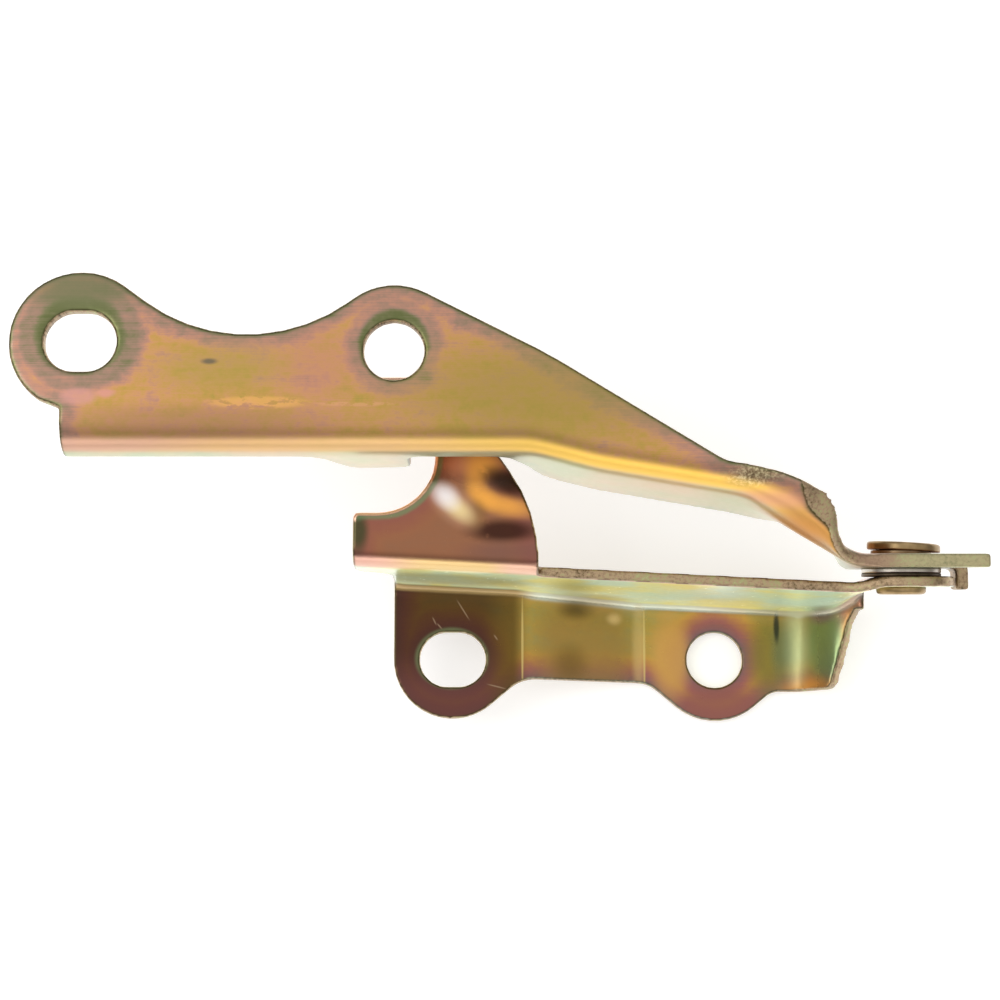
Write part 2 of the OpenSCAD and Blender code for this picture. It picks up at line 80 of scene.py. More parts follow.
class Graph:
    """The node tree of a material or of the world, built by short calls."""

    def __init__(self, owner, coordinates="Object"):
        owner.use_nodes = True
        self.owner = owner
        self.tree = owner.node_tree
        self.tree.nodes.clear()
        source = self.node("TexCoord")
        self.place = source.outputs[coordinates]
        self.normal = source.outputs["Normal"]

    def node(self, kind):
        return self.tree.nodes.new("ShaderNode" + kind)

    def put(self, socket, value):
        """Link a socket to another one, or set it to a constant."""
        if isinstance(value, bpy.types.NodeSocket):
            self.tree.links.new(value, socket)
        else:
            socket.default_value = value

    def math(self, kind, first, second=0.0, clamp=False):
        node = self.node("Math")
        node.operation = kind
        node.use_clamp = clamp
        self.put(node.inputs[0], first)
        self.put(node.inputs[1], second)
        return node.outputs[0]

    def total(self, *values):
        result = values[0]
        for value in values[1:]:
            result = self.math("ADD", result, value)
        return result

    def product(self, *values):
        result = values[0]
        for value in values[1:]:
            result = self.math("MULTIPLY", result, value)
        return result

    def span(self, value, low, high, out_low=0.0, out_high=1.0, smooth=True):
        """The value mapped from low..high to out_low..out_high, and held at the ends."""
        node = self.node("MapRange")
        node.interpolation_type = "SMOOTHSTEP" if smooth else "LINEAR"
        self.put(node.inputs["Value"], value)
        self.put(node.inputs["From Min"], low)
        self.put(node.inputs["From Max"], high)
        self.put(node.inputs["To Min"], out_low)
        self.put(node.inputs["To Max"], out_high)
        return node.outputs["Result"]

    def stretch(self, scale):
        """The place, scaled by its own factor along each axis."""
        node = self.node("Mapping")
        self.put(node.inputs["Vector"], self.place)
        node.inputs["Scale"].default_value = scale
        return node.outputs[0]

    def noise(self, scale, detail, rough, vector=None):
        """Noise from 0 to 1, over the place in metres unless another vector is given."""
        node = self.node("TexNoise")
        self.put(node.inputs["Vector"], vector or self.place)
        node.inputs["Scale"].default_value = scale
        node.inputs["Detail"].default_value = detail
        node.inputs["Roughness"].default_value = rough
        return node.outputs["Fac"]

    def signed(self, scale, detail, rough, size, vector=None):
        """Noise from -size / 2 to size / 2."""
        centred = self.math("SUBTRACT", self.noise(scale, detail, rough, vector), 0.5)
        return self.product(centred, size)

    def ramp(self, value, stops):
        node = self.node("ValToRGB")
        bar = node.color_ramp
        while len(bar.elements) < len(stops):
            bar.elements.new(0.5)
        for item, (at, colour) in zip(bar.elements, stops):
            item.position = at
            item.color = colour
        self.put(node.inputs["Fac"], value)
        return node.outputs["Color"]

    def mix(self, amount, first, second):
        node = self.node("Mix")
        node.data_type = "RGBA"
        self.put(node.inputs["Factor"], amount)
        colours = [socket for socket in node.inputs if socket.type == "RGBA"]
        self.put(colours[0], first)
        self.put(colours[1], second)
        return [socket for socket in node.outputs if socket.type == "RGBA"][0]

    def fade(self, value, shade, *steps):
        """A shade that turns into others along the value; a step is (from, to, next shade)."""
        for start, end, following in steps:
            shade = self.mix(self.span(value, start, end), shade, following)
        return shade

    def attribute(self, name):
        node = self.node("Attribute")
        node.attribute_name = name
        return node.outputs["Fac"]

    def axes(self, vector):
        node = self.node("SeparateXYZ")
        self.put(node.inputs[0], vector)
        return node.outputs

    def spot(self, at, radii, soft, turn=0.0):
        """1 inside a soft ellipsoid, 0 outside it.

        at and radii are in millimetres, and turn is about Z, in degrees. It fades over the share
        soft of its radii, on both sides of its surface.
        """
        node = self.node("Mapping")
        node.vector_type = "TEXTURE"
        self.put(node.inputs["Vector"], self.place)
        node.inputs["Location"].default_value = [value * MM for value in at]
        node.inputs["Rotation"].default_value = (0, 0, math.radians(turn))
        node.inputs["Scale"].default_value = [radius * MM for radius in radii]
        length = self.node("VectorMath")
        length.operation = "LENGTH"
        self.put(length.inputs[0], node.outputs[0])
        return self.span(length.outputs["Value"], 1 - soft, 1 + soft, 1.0, 0.0)

    def bump(self, height, strength, distance, normal=None):
        node = self.node("Bump")
        node.inputs["Strength"].default_value = strength
        node.inputs["Distance"].default_value = distance
        self.put(node.inputs["Height"], height)
        if normal is not None:
            self.put(node.inputs["Normal"], normal)
        return node.outputs[0]

    def choose(self, switch, plain, other):
        """A shader that is plain where the switch is 0, and the other where it is 1."""
        node = self.node("MixShader")
        self.put(node.inputs["Fac"], switch)
        self.put(node.inputs[1], plain)
        self.put(node.inputs[2], other)
        return node.outputs[0]

    def end(self, shader, kind="OutputMaterial"):
        self.put(self.node(kind).inputs[0], shader)
        return self.owner

    def metal(self, colour, roughness, metallic, normal):
        shader = self.node("BsdfPrincipled")
        self.put(shader.inputs["Base Color"], colour)
        self.put(shader.inputs["Roughness"], roughness)
        self.put(shader.inputs["Metallic"], metallic)
        self.put(shader.inputs["Normal"], normal)
        return self.end(shader.outputs[0])


def new_piece(name, data):
    piece = bpy.data.objects.new(name, data)
    scene.collection.objects.link(piece)
    return piece


def shade_smooth(data):
    for polygon in data.polygons:
        polygon.use_smooth = True


# Pressed-sheet pieces: the CAD solid, with its facets smoothed and its sheared edges broken.
WELD = 1e-6
VOXEL = 0.375 * MM
SKIN_AREA = 2000 * MM * MM
MARK_STEP = 0.3 * MM
# the skins' smoothing starts this far from a sharp edge, and grows over the next stretch, in millimetres
EDGE_KEEP = 0.7
EDGE_BLEND = 1.2
# rounds of smoothing, each by half of the way: all over, skins, eased region, marks of the cut
ALL_ROUNDS = 3
SKIN_ROUNDS = 30
EASE_ROUNDS = 26
CUT_ROUNDS = 2
HALF = 0.5


def weld(source):
    mesh = bmesh.new()
    mesh.from_mesh(source.data)
    bmesh.ops.remove_doubles(mesh, verts=mesh.verts, dist=WELD)
    mesh.normal_update()
    mesh.edges.index_update()
    mesh.faces.index_update()
    mesh.faces.ensure_lookup_table()
    return mesh


def sheared_faces(mesh, crease):
    """The sharp edges, and the faces of the sheet's thickness.

    Those are the patches between sharp edges that are smaller than the two skins.
    """
    sharp = set()
    for edge in mesh.edges:
        if len(edge.link_faces) == 2 and edge.calc_face_angle() > crease:
            sharp.add(edge.index)
    cut = set()
    seen = set()
    for face in mesh.faces:
        if face.index in seen:
            continue
        patch = []
        queue = [face]
        seen.add(face.index)
        while queue:
            item = queue.pop()
            patch.append(item)
            for edge in item.edges:
                if edge.index in sharp:
                    continue
                for other in edge.link_faces:
                    if other.index not in seen:
                        seen.add(other.index)
                        queue.append(other)
        if sum(item.calc_area() for item in patch) < SKIN_AREA:
            cut.update(item.index for item in patch)
    return sharp, cut


def marks_along(mesh, sharp):
    """A search tree of points along the sharp edges, close enough together to measure from."""
    marks = []
    for edge in mesh.edges:
        if edge.index in sharp:
            start, end = (vert.co for vert in edge.verts)
            steps = max(1, int((end - start).length / MARK_STEP))
            marks += [start.lerp(end, step / steps) for step in range(steps + 1)]
    tree = kdtree.KDTree(len(marks))
    for number, point in enumerate(marks):
        tree.insert(point, number)
    tree.balance()
    return tree


def remeshed(mesh, name):
    """The shape of a bmesh as a mesh of small, even faces."""
    welded = bpy.data.meshes.new(name + "_welded")
    mesh.to_mesh(welded)
    rough = new_piece(name + "_rough", welded)
    remesh = rough.modifiers.new("remesh", "REMESH")
    remesh.mode = "VOXEL"
    remesh.voxel_size = VOXEL
    bpy.context.view_layer.update()
    shaped = rough.evaluated_get(bpy.context.evaluated_depsgraph_get())
    result = bpy.data.meshes.new_from_object(shaped)
    bpy.data.objects.remove(rough)
    bpy.data.meshes.remove(welded)
    result.name = name
    return result


def smooth_points(points, edges, weight, rounds):
    """Each point moved towards the mean of its neighbours, by its weight, some rounds long."""
    count = len(points)
    degree = np.bincount(edges.ravel(), minlength=count).astype(float)
    for _ in range(rounds):
        mean = np.zeros_like(points)
        for axis in range(points.shape[1]):
            mean[:, axis] = np.bincount(edges[:, 0], points[edges[:, 1], axis], count)
            mean[:, axis] += np.bincount(edges[:, 1], points[edges[:, 0], axis], count)
        points = points + weight[:, None] * (mean / degree[:, None] - points)
    return points


def formed_piece(node, name, crease, sheared=None, eased=None):
    """The node's solid as a smooth pressing, whose edges are sharper than crease, in degrees.

    sheared adds faces to its cut ones, and eased rounds a region more.
    """
    mesh = weld(frame["nodes"][node])
    sharp, cut = sheared_faces(mesh, math.radians(crease))
    if sheared:
        for face in mesh.faces:
            if sheared(face.calc_center_median() / MM, face.normal):
                cut.add(face.index)
    marks = marks_along(mesh, sharp)
    solid = BVHTree.FromBMesh(mesh)
    result = remeshed(mesh, name)
    mesh.free()

    count = len(result.vertices)
    points = np.zeros(count * 3)
    result.vertices.foreach_get("co", points)
    points = points.reshape(-1, 3)
    edges = np.zeros(len(result.edges) * 2, int)
    result.edges.foreach_get("vertices", edges)
    edges = edges.reshape(-1, 2)
    edge_mm = np.array([marks.find(point)[2] for point in points]) / MM
    on_cut = np.array([float(solid.find_nearest(point)[2] in cut) for point in points])

    # the skins are smoothed well, and the sheared edges only a little
    half = np.full(count, HALF)
    points = smooth_points(points, edges, half, ALL_ROUNDS)
    skin = np.clip((edge_mm - EDGE_KEEP) / EDGE_BLEND, 0, 1) * (1 - on_cut)
    points = smooth_points(points, edges, half * skin, SKIN_ROUNDS)
    if eased:
        points = smooth_points(points, edges, half * eased(points / MM), EASE_ROUNDS)
    result.vertices.foreach_set("co", points.ravel())
    on_cut = smooth_points(on_cut[:, None], edges, half, CUT_ROUNDS)[:, 0]

    for key, values in (("edge_mm", edge_mm), ("cut", on_cut)):
        layer = result.attributes.new(key, "FLOAT", "POINT")
        layer.data.foreach_set("value", values.astype(np.float32))
    shade_smooth(result)
    result.update()
    piece = new_piece(name, result)
    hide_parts(node)
    return piece


# The arm's rolled corner and its tab are sheared off square to the joggle. Places are in millimetres.
JOGGLE_TURN = math.radians(-30.2)
JOGGLE = Vector((math.cos(JOGGLE_TURN), math.sin(JOGGLE_TURN), 0))
ACROSS = Vector((-JOGGLE.y, JOGGLE.x, 0))
SHEAR_START = 4
SHEAR_LOW = 33
TAB_START = 24
# limits for a face's normal: its share across the joggle, along it and upwards
ACROSS_MOST = 0.05
ALONG_LEAST = 0.15
UP_LEAST = 0.75
# the rolled corner is eased between these places along X, and less over the last few millimetres
EASE_START = 3
EASE_END = 28
EASE_FADE = 3
# edges that turn by more degrees than this are sharp: the bracket's tightest bend turns more than the arm's
ARM_CREASE = 28
BRACKET_CREASE = 55


def off_cut(centre, normal):
    """Whether a face of the arm is one that the shear left."""
    if centre.x < SHEAR_START or centre.z < SHEAR_LOW or abs(normal.dot(ACROSS)) > ACROSS_MOST:
        return False
    if normal.dot(JOGGLE) > ALONG_LEAST:
        return True
    return centre.x > TAB_START and normal.z > UP_LEAST


def off_cut_region(points):
    """How much each point of the arm is eased, from 0 to 1."""
    after = np.clip((points[:, 0] - EASE_START) / EASE_FADE, 0, 1)
    before = np.clip((EASE_END - points[:, 0]) / EASE_FADE, 0, 1)
    above = np.clip((points[:, 2] - SHEAR_LOW) / EASE_FADE, 0, 1)
    return after * before * above


arm = formed_piece("bonnet_arm", "arm_pressing", ARM_CREASE, off_cut, off_cut_region)
bracket = formed_piece("body_bracket", "bracket_pressing", BRACKET_CREASE)
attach(arm, "arm")
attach(bracket, "bracket")


# Turned pieces on the pivot, drawn in its own frame, whose Y runs along the joint's axis.
joint = frame["joints"][0]
PIVOT = Vector(joint["pos_m"]) / MM
PIVOT_TURN = Vector((0, 1, 0)).rotation_difference(Vector(joint["axis"])).to_matrix()
SEGMENTS = 96
# places along the axis in millimetres, from the middle of the bracket's eye
EYE = 1.0
TAIL_END = -2.4
THRUST = 1.6
BUSH = 1.64
TAB = 2.54
BARREL_END = 5.14
HEAD_RING = 5.18
HEAD = 5.98
TOP = 7.48
# radii in millimetres
SHANK_RADIUS = 4.0
TAIL_RADIUS = 4.7
HEAD_RADIUS = 6.9
BORE_RADIUS = 4.05
BARREL_RADIUS = 5.05
WIDE_RADIUS = 7.5
RING_RADIUS = 5.7
# sizes of the bevels in millimetres
BORE_BEVEL = 0.1
EDGE_BEVEL = 0.2
TAIL_BEVEL = 0.9
HEAD_BEVEL = 0.6
UNDER_HEAD_BEVEL = 0.25
# the riveted head sits a little crooked, as it was set: moved along X, leaning and pressed in
HEAD_SHIFT = 0.5
HEAD_LEAN = 0.055
HEAD_PRESS = 0.1


def turned_piece(node, name, profile, body, skew=None):
    """A closed outline of [radius, place along the axis] in millimetres, turned about the pivot."""
    def point(radius, along, angle):
        local = Vector((radius * math.cos(angle), along, radius * math.sin(angle)))
        if skew:
            local = skew(local)
        return mesh.verts.new((PIVOT + PIVOT_TURN @ local) * MM)

    mesh = bmesh.new()
    rings = []
    for radius, along in profile:
        count = SEGMENTS if radius > 0 else 1
        rings.append([point(radius, along, math.tau * step / SEGMENTS) for step in range(count)])
    pairs = list(zip(rings, rings[1:]))
    if len(rings[0]) > 1:
        pairs.append((rings[-1], rings[0]))
    for low, high in pairs:
        for step in range(SEGMENTS):
            corners = [low[step % len(low)], low[(step + 1) % len(low)]]
            corners += [high[(step + 1) % len(high)], high[step % len(high)]]
            mesh.faces.new(list(dict.fromkeys(corners)))
    bmesh.ops.recalc_face_normals(mesh, faces=mesh.faces)
    data = bpy.data.meshes.new(name)
    mesh.to_mesh(data)
    mesh.free()
    shade_smooth(data)
    piece = new_piece(name, data)
    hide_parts(node)
    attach(piece, body)
    return piece


def bevelled(outline, sizes):
    """An outline whose corners are rounded by bevels of the given sizes."""
    result = []
    count = len(outline)
    for number, (corner, size) in enumerate(zip(outline, sizes)):
        if size == 0:
            result.append(corner)
            continue
        here = Vector(corner)
        before = (Vector(outline[number - 1]) - here).normalized() * size
        after = (Vector(outline[(number + 1) % count]) - here).normalized() * size
        for part in (0, 0.25, 0.5, 0.75, 1):
            result.append(tuple(here + before * (1 - part) ** 2 + after * part ** 2))
    return result


def ring_outline(inner, outer, low, high):
    corners = [(inner, low), (outer, low), (outer, high), (inner, high)]
    return bevelled(corners, [BORE_BEVEL, EDGE_BEVEL, EDGE_BEVEL, BORE_BEVEL])


def crooked_head(local):
    if local.y < HEAD - 0.01:
        return local
    return Vector((local.x + HEAD_SHIFT, local.y - HEAD_LEAN * local.x - HEAD_PRESS, local.z))


rivet_outline = bevelled(
    [(0, TAIL_END), (TAIL_RADIUS, TAIL_END), (TAIL_RADIUS, -EYE), (SHANK_RADIUS, -EYE),
     (SHANK_RADIUS, HEAD), (HEAD_RADIUS, HEAD), (HEAD_RADIUS, TOP), (0, TOP)],
    [0, TAIL_BEVEL, EDGE_BEVEL, 0, 0, UNDER_HEAD_BEVEL, HEAD_BEVEL, 0])
bush_outline = bevelled(
    [(BORE_RADIUS, BUSH), (WIDE_RADIUS, BUSH), (WIDE_RADIUS, TAB),
     (BARREL_RADIUS, TAB), (BARREL_RADIUS, BARREL_END), (BORE_RADIUS, BARREL_END)],
    [BORE_BEVEL, EDGE_BEVEL, EDGE_BEVEL, 0, BORE_BEVEL, BORE_BEVEL])
thrust_outline = ring_outline(SHANK_RADIUS, WIDE_RADIUS, EYE, THRUST)
head_ring_outline = ring_outline(SHANK_RADIUS, RING_RADIUS, HEAD_RING, HEAD)

rivet = turned_piece("pivot_rivet", "rivet", rivet_outline, "bracket", crooked_head)
bush = turned_piece("pivot_bush", "bush", bush_outline, "arm")
thrust = turned_piece("thrust_washer", "thrust_ring", thrust_outline, "bracket")
head_ring = turned_piece("head_washer", "head_ring", head_ring_outline, "bracket")


# Materials: yellow zinc plate, whose colour follows the thickness of its film, with some highlights, shade
# and reflections painted into it.
SCRATCH_WIDTH = 0.26
SCRATCH_DEPTH = 3.0


class Plate(Graph):
    """A pressing's plating, whose colour is laid on layer by layer."""

    def __init__(self, name):
        super().__init__(bpy.data.materials.new(name))
        self.edge = self.attribute("edge_mm")
        self.cut = self.span(self.attribute("cut"), 0.3, 0.7)
        self.facing = self.axes(self.normal)
        # the place in millimetres
        self.x, self.y, self.z = (self.math("DIVIDE", axis, MM) for axis in self.axes(self.place))
        self.colour = None

    def cover(self, amount, shade):
        """Lay a shade over the colour."""
        self.colour = self.mix(amount, self.colour, shade)

    def daub(self, shade, at, radii, soft, strength, turn=0.0, grain=1.0):
        """Lay a soft patch of a shade over the colour, as spot places it; grain breaks it up."""
        self.cover(self.product(self.spot(at, radii, soft, turn), strength, grain), shade)

    def scratch(self, shade, at, length, turn, strength):
        radii = (length / 2, SCRATCH_WIDTH / 2, SCRATCH_DEPTH / 2)
        self.daub(shade, at, radii, 0.4, strength, turn)

    def upright(self):
        """1 on steep faces towards -Y, as the webs are."""
        steep = self.span(self.math("ABSOLUTE", self.facing[2]), 0.25, 0.6, 1.0, 0.0)
        return self.product(steep, self.span(self.facing[1], -0.1, -0.4))

    def front(self, amount):
        """The amount on faces towards -Y, and none on level ones."""
        return self.product(self.span(self.facing[1], -0.35, -0.8), amount)

    def rim_distance(self, at, reach, radius):
        """Millimetres from the rim of a round hole, or of a slot along X, in a level face."""
        aside = self.math("ABSOLUTE", self.math("SUBTRACT", self.x, at[0]))
        aside = self.math("MAXIMUM", self.math("SUBTRACT", aside, reach), 0.0)
        above = self.math("SUBTRACT", self.y, at[1])
        square = self.total(self.product(aside, aside), self.product(above, above))
        return self.math("SUBTRACT", self.math("SQRT", square), radius)


ROLL_OVER = rgb(66, 60, 36)
SHEARED_STOPS = [
    (0.34, rgb(86, 74, 50)),
    (0.43, rgb(150, 128, 100)),
    (0.52, rgb(178, 152, 122)),
    (0.60, rgb(166, 164, 116)),
    (0.72, rgb(192, 188, 148))]


def plating(name, film, stops, rough, streak, mottle, layers, trim, dull, blur=None):
    """A pressing's material.

    film gives the film's thickness and stops the shades that it takes; layers are laid on the
    skins, and trim on the sheared edges too. dull says where it is less metallic and blur where
    it is rougher.
    """
    plate = Plate(name)
    # the film, with slow drift, cloudy grain and fine brushing along the sheet
    base = film(plate)
    cloud = plate.total(
        plate.signed(55, 3, 0.55, 0.4),
        plate.signed(1, 4, 0.65, mottle, plate.stretch((150, 300, 300))),
        plate.signed(700, 3, 0.6, mottle * 0.5))
    cloud = plate.product(cloud, plate.span(base, 0.2, 0.6, 0.35, 1.0))
    brushing = plate.signed(1, 3, 0.6, streak, plate.stretch((60, 5200, 2600)))
    plate.colour = plate.ramp(plate.total(base, cloud, brushing), stops)
    for layer in layers:
        layer(plate)
    # a thin dull line where the skin rolls over into the sheared edge
    plate.cover(plate.span(plate.edge, 0.15, 0.6, 0.8, 0.0), ROLL_OVER)
    # the sheared edge: dull, and scored across the sheet
    score = plate.noise(1, 4, 0.65, plate.stretch((1900, 1900, 420)))
    patch = plate.noise(140, 3, 0.6)
    bare = plate.total(plate.product(score, 0.6), plate.product(patch, 0.4))
    plate.cover(plate.cut, plate.ramp(bare, SHEARED_STOPS))
    trim(plate)
    roughness = plate.total(plate.signed(900, 3, 0.6, 0.16), rough, plate.product(plate.cut, 0.12))
    if blur:
        roughness = plate.total(roughness, blur(plate))
    brushed = plate.noise(1, 3, 0.6, plate.stretch((90, 4200, 2600)))
    normal = plate.bump(brushed, 0.12, 0.03 * MM)
    normal = plate.bump(plate.product(score, plate.cut), 0.35, 0.08 * MM, normal)
    # where the film is thick it scatters light, and so it looks less like a mirror
    metallic = plate.math("SUBTRACT", 1.0, dull(plate), clamp=True)
    return plate.metal(plate.colour, roughness, metallic, normal)


# The arm: the height of its flange, and its shades from thin to thick film.
FLANGE = 52
ARM_STOPS = [
    (0.0, rgb(102, 108, 68)),
    (0.12, rgb(122, 120, 86)),
    (0.26, rgb(158, 130, 112)),
    (0.40, rgb(186, 138, 118)),
    (0.58, rgb(202, 150, 104)),
    (0.76, rgb(192, 152, 84)),
    (0.92, rgb(176, 150, 76)),
    (1.0, rgb(166, 152, 84))]
SPECKLE_STOPS = [
    (0.36, rgb(84, 76, 50)),
    (0.5, rgb(150, 136, 98)),
    (0.62, rgb(226, 214, 168))]


def arm_film(plate):
    """Thin along the edges and round the holes, where the halos lie a little high."""
    edge = plate.total(
        plate.span(plate.edge, 0.2, 1.2, 0.08, 0.34), plate.span(plate.edge, 1.6, 5.0, 0.0, 0.32))
    hole = plate.rim_distance((-62, 52.4), 0, 5.5)
    hole = plate.total(plate.span(hole, 0.2, 1.6, 0.02, 0.32), plate.span(hole, 2.2, 5.0, 0.0, 0.34))
    slot = plate.rim_distance((-119, 54.0), 1.0, 5.6)
    slot = plate.total(plate.span(slot, 0.4, 2.4, 0.02, 0.24), plate.span(slot, 3.6, 7.0, 0.0, 0.42))
    return plate.math("MINIMUM", edge, plate.math("MINIMUM", hole, slot))


def arm_web(plate):
    """A pale film, mint to pink, whose paleness on the web is partly a painted reflection of the white
    floor; and a painted gold highlight on the bend above it, pinker at its left end.
    """
    # pale film shades, lighter on the web as a painted reflection of the white floor
    pale = plate.fade(
        plate.noise(45, 2, 0.5), rgb(186, 207, 170),
        (0.32, 0.68, rgb(218, 202, 170)))
    plate.cover(plate.product(plate.upright(), 0.75), pale)
    # a painted highlight along the bend
    bend = plate.product(plate.span(plate.facing[1], -0.5, -0.72), plate.span(plate.facing[2], 0.2, 0.5))
    gleam = plate.fade(
        plate.x, rgb(214, 168, 144),
        (-112.0, -90.0, rgb(222, 180, 123)),
        (-70.0, -30.0, rgb(248, 200, 86)),
        (2.0, 12.0, rgb(208, 158, 78)))
    plate.cover(plate.product(bend, 0.85), gleam)


def arm_flange(plate):
    # olive in the middle, pink between the holes, mauve over the bend at the left
    plate.daub(rgb(158, 140, 70), (-36, 43, FLANGE), (24, 9, 4), 0.7, 0.65)
    plate.daub(rgb(170, 150, 78), (-93, 48, FLANGE), (11, 4, 4), 0.7, 0.5)
    plate.daub(rgb(196, 138, 112), (-76, 48, FLANGE), (6, 6, 4), 0.7, 0.45)
    plate.daub(rgb(146, 108, 90), (-100, 38, FLANGE - 2), (30, 3, 4), 0.6, 0.5)
    # greener beyond the slot
    plate.daub(rgb(116, 118, 84), (-119.5, 62.5, FLANGE), (9, 3.6, 2), 0.6, 0.8)


def arm_wear(plate):
    # a worn streak beside the bend
    grain = plate.span(plate.noise(1, 3, 0.6, plate.stretch((420, 900, 900))), 0.42, 0.52)
    plate.daub(rgb(234, 176, 104), (-86.5, 41.5, FLANGE), (8.5, 1.1, 1), 0.3, 0.6, grain=grain)
    plate.daub(rgb(226, 166, 128), (-69, 41.2, FLANGE), (7, 0.4, 1), 0.4, 0.4, grain=grain)
    # smudges and a fleck
    plate.daub(rgb(206, 150, 140), (-119, 42.6, FLANGE), (3.2, 1.5, 1), 0.4, 0.7)
    plate.daub(rgb(214, 150, 140), (-114, 43.2, FLANGE), (1.6, 0.7, 1), 0.5, 0.7)
    plate.daub(rgb(98, 96, 84), (-95.4, 49.1, FLANGE), (1.3, 0.5, 1), 0.6, 0.8)
    plate.daub(rgb(44, 36, 26), (-59.4, 38.0, 50.6), (0.35, 0.75, 1), 0.3, 0.9)


def arm_run_out(plate):
    # gold under the rolled corner, and pink above it
    plate.daub(rgb(188, 120, 40), (12, 20, 41), (9, 4.5, 4.5), 0.8, 0.75)
    plate.daub(rgb(216, 152, 122), (8, 25.5, 46.6), (8, 2.2, 2), 0.6, 0.7)
    # the torn patch where the flange runs out
    speckle = plate.ramp(plate.noise(1500, 3, 0.7), SPECKLE_STOPS)
    plate.daub(speckle, (2.8, 29.4, 48.2), (6.2, 2.5, 3.2), 0.3, 0.9)
    plate.daub(rgb(92, 94, 58), (10.5, 27.6, 46.5), (2.6, 0.9, 2), 0.5, 0.8, -20)


def arm_trim(plate):
    """The cut edge of the tab: greener towards its tip, mauve towards the joggle."""
    plate.daub(rgb(184, 188, 142), (40, 15.5, 36), (11, 4, 2.5), 0.5, 0.45)
    plate.daub(rgb(164, 132, 112), (27, 15.5, 36.5), (4.5, 4, 2.5), 0.5, 0.6)


def arm_dull(plate):
    return plate.front(0.45)


# The bracket: the heights of its feet and hook, and its shades from thin to thick film.
RIGHT_FOOT = 2
LEFT_FOOT = 12
HOOK = 34
HOOK_DIP = 33
BRACKET_STOPS = [
    (0.0, rgb(92, 104, 74)),
    (0.12, rgb(128, 96, 96)),
    (0.28, rgb(158, 100, 92)),
    (0.44, rgb(178, 124, 78)),
    (0.60, rgb(190, 148, 70)),
    (0.76, rgb(172, 148, 74)),
    (0.9, rgb(150, 152, 100)),
    (1.0, rgb(150, 168, 140))]


def bracket_film(plate):
    """Thin along the edges."""
    return plate.span(plate.edge, 0.0, 6.5, 0.08, 0.74, smooth=False)


def bracket_web(plate):
    """A pale film, cyan to yellow, whose paleness on the web is partly a painted reflection of the white
    floor, with an olive shade behind the ramp.
    """
    # pale film shades, lighter on the web as a painted reflection of the white floor
    pale = plate.fade(
        plate.noise(70, 3, 0.5), rgb(220, 249, 218),
        (0.34, 0.66, rgb(255, 246, 150)))
    plate.cover(plate.product(plate.upright(), 0.95), pale)
    plate.daub(rgb(136, 132, 70), (-29, 12, 20), (4, 4, 9), 0.8, 0.5)


def right_foot(plate):
    # red-brown round its rounded end, gold and olive on either side of the hole
    plate.daub(rgb(144, 92, 82), (1, -9.4, RIGHT_FOOT), (9, 4.4, 2), 0.5, 0.85)
    plate.daub(rgb(200, 154, 84), (-8.8, 1.0, RIGHT_FOOT), (3.6, 8, 2), 0.5, 0.85)
    plate.daub(rgb(124, 116, 56), (11, 1, RIGHT_FOOT), (4, 8, 3), 0.6, 0.85)


def end_panel(plate):
    # teal, with a mauve corner and gold edges
    plate.daub(rgb(128, 153, 104), (21.5, 3, 6), (4, 8, 8), 0.5, 0.85)
    plate.daub(rgb(150, 104, 110), (21, 8.4, 6), (2, 1.6, 5), 0.6, 0.5)
    plate.daub(rgb(206, 150, 62), (26.5, 0, 11), (2, 10, 4), 0.6, 0.8)
    plate.daub(rgb(226, 160, 76), (19, -6.2, 3), (5, 2.4, 6), 0.6, 0.8)
    # its bend: a painted highlight, then green, and a dark line where it starts
    plate.daub(rgb(198, 206, 158), (16.4, 3, 1.5), (2.2, 7, 4), 0.7, 0.8)
    plate.daub(rgb(96, 116, 88), (13.6, 2, RIGHT_FOOT), (1.8, 6, 3), 0.7, 0.5)
    plate.daub(rgb(40, 48, 42), (12.5, 6.6, RIGHT_FOOT), (0.55, 2.9, 2), 0.5, 0.85)


def left_foot(plate):
    # painted darkness over the foot, standing for the dark reflection it shows, redder towards the rounded
    # end, paler round the slot
    level = plate.product(plate.span(plate.z, 8.5, 10.0), plate.span(plate.z, 14.5, 13.0))
    dark = plate.fade(plate.y, rgb(64, 41, 28), (2.0, -8.0, rgb(96, 60, 54)))
    dark = plate.fade(plate.x, dark, (-47.0, -40.0, rgb(92, 70, 32)))
    plate.cover(plate.product(plate.span(plate.x, -36.5, -40.5), level, 0.88), dark)
    plate.daub(rgb(118, 132, 92), (-52.2, -0.7, LEFT_FOOT), (7.1, 6.0, 1), 0.07, 0.55)
    scratches = (
        (-50.0, 8.8, 4.2, -58), (-55.6, 6.6, 1.6, -64), (-54.6, 5.6, 1.3, -50),
        (-43.6, 3.4, 1.2, -55), (-43.4, -6.2, 3.6, -14))
    for across, along, length, turn in scratches:
        plate.scratch(rgb(170, 146, 120), (across, along, LEFT_FOOT), length, turn, 0.5)
    # the web's foot behind it: olive
    plate.daub(rgb(158, 156, 104), (-54, 13, 22), (16, 5, 7), 0.4, 0.6)


def bracket_fold(plate):
    """The fold below the web: tan over the left foot, then a painted highlight line that fades to the right.
    """
    slope = plate.product(
        plate.span(plate.facing[2], 0.25, 0.5), plate.span(plate.facing[2], 0.96, 0.86),
        plate.span(plate.facing[1], -0.15, -0.4))
    below = plate.span(plate.z, 26.0, 22.0)
    fading = plate.span(plate.x, 14.0, -6.0, 0.3, 0.85)
    # the painted highlight along the fold
    line = plate.fade(plate.x, rgb(190, 160, 106), (-40.0, -34.0, rgb(226, 236, 218)))
    plate.cover(plate.product(slope, below, fading), line)


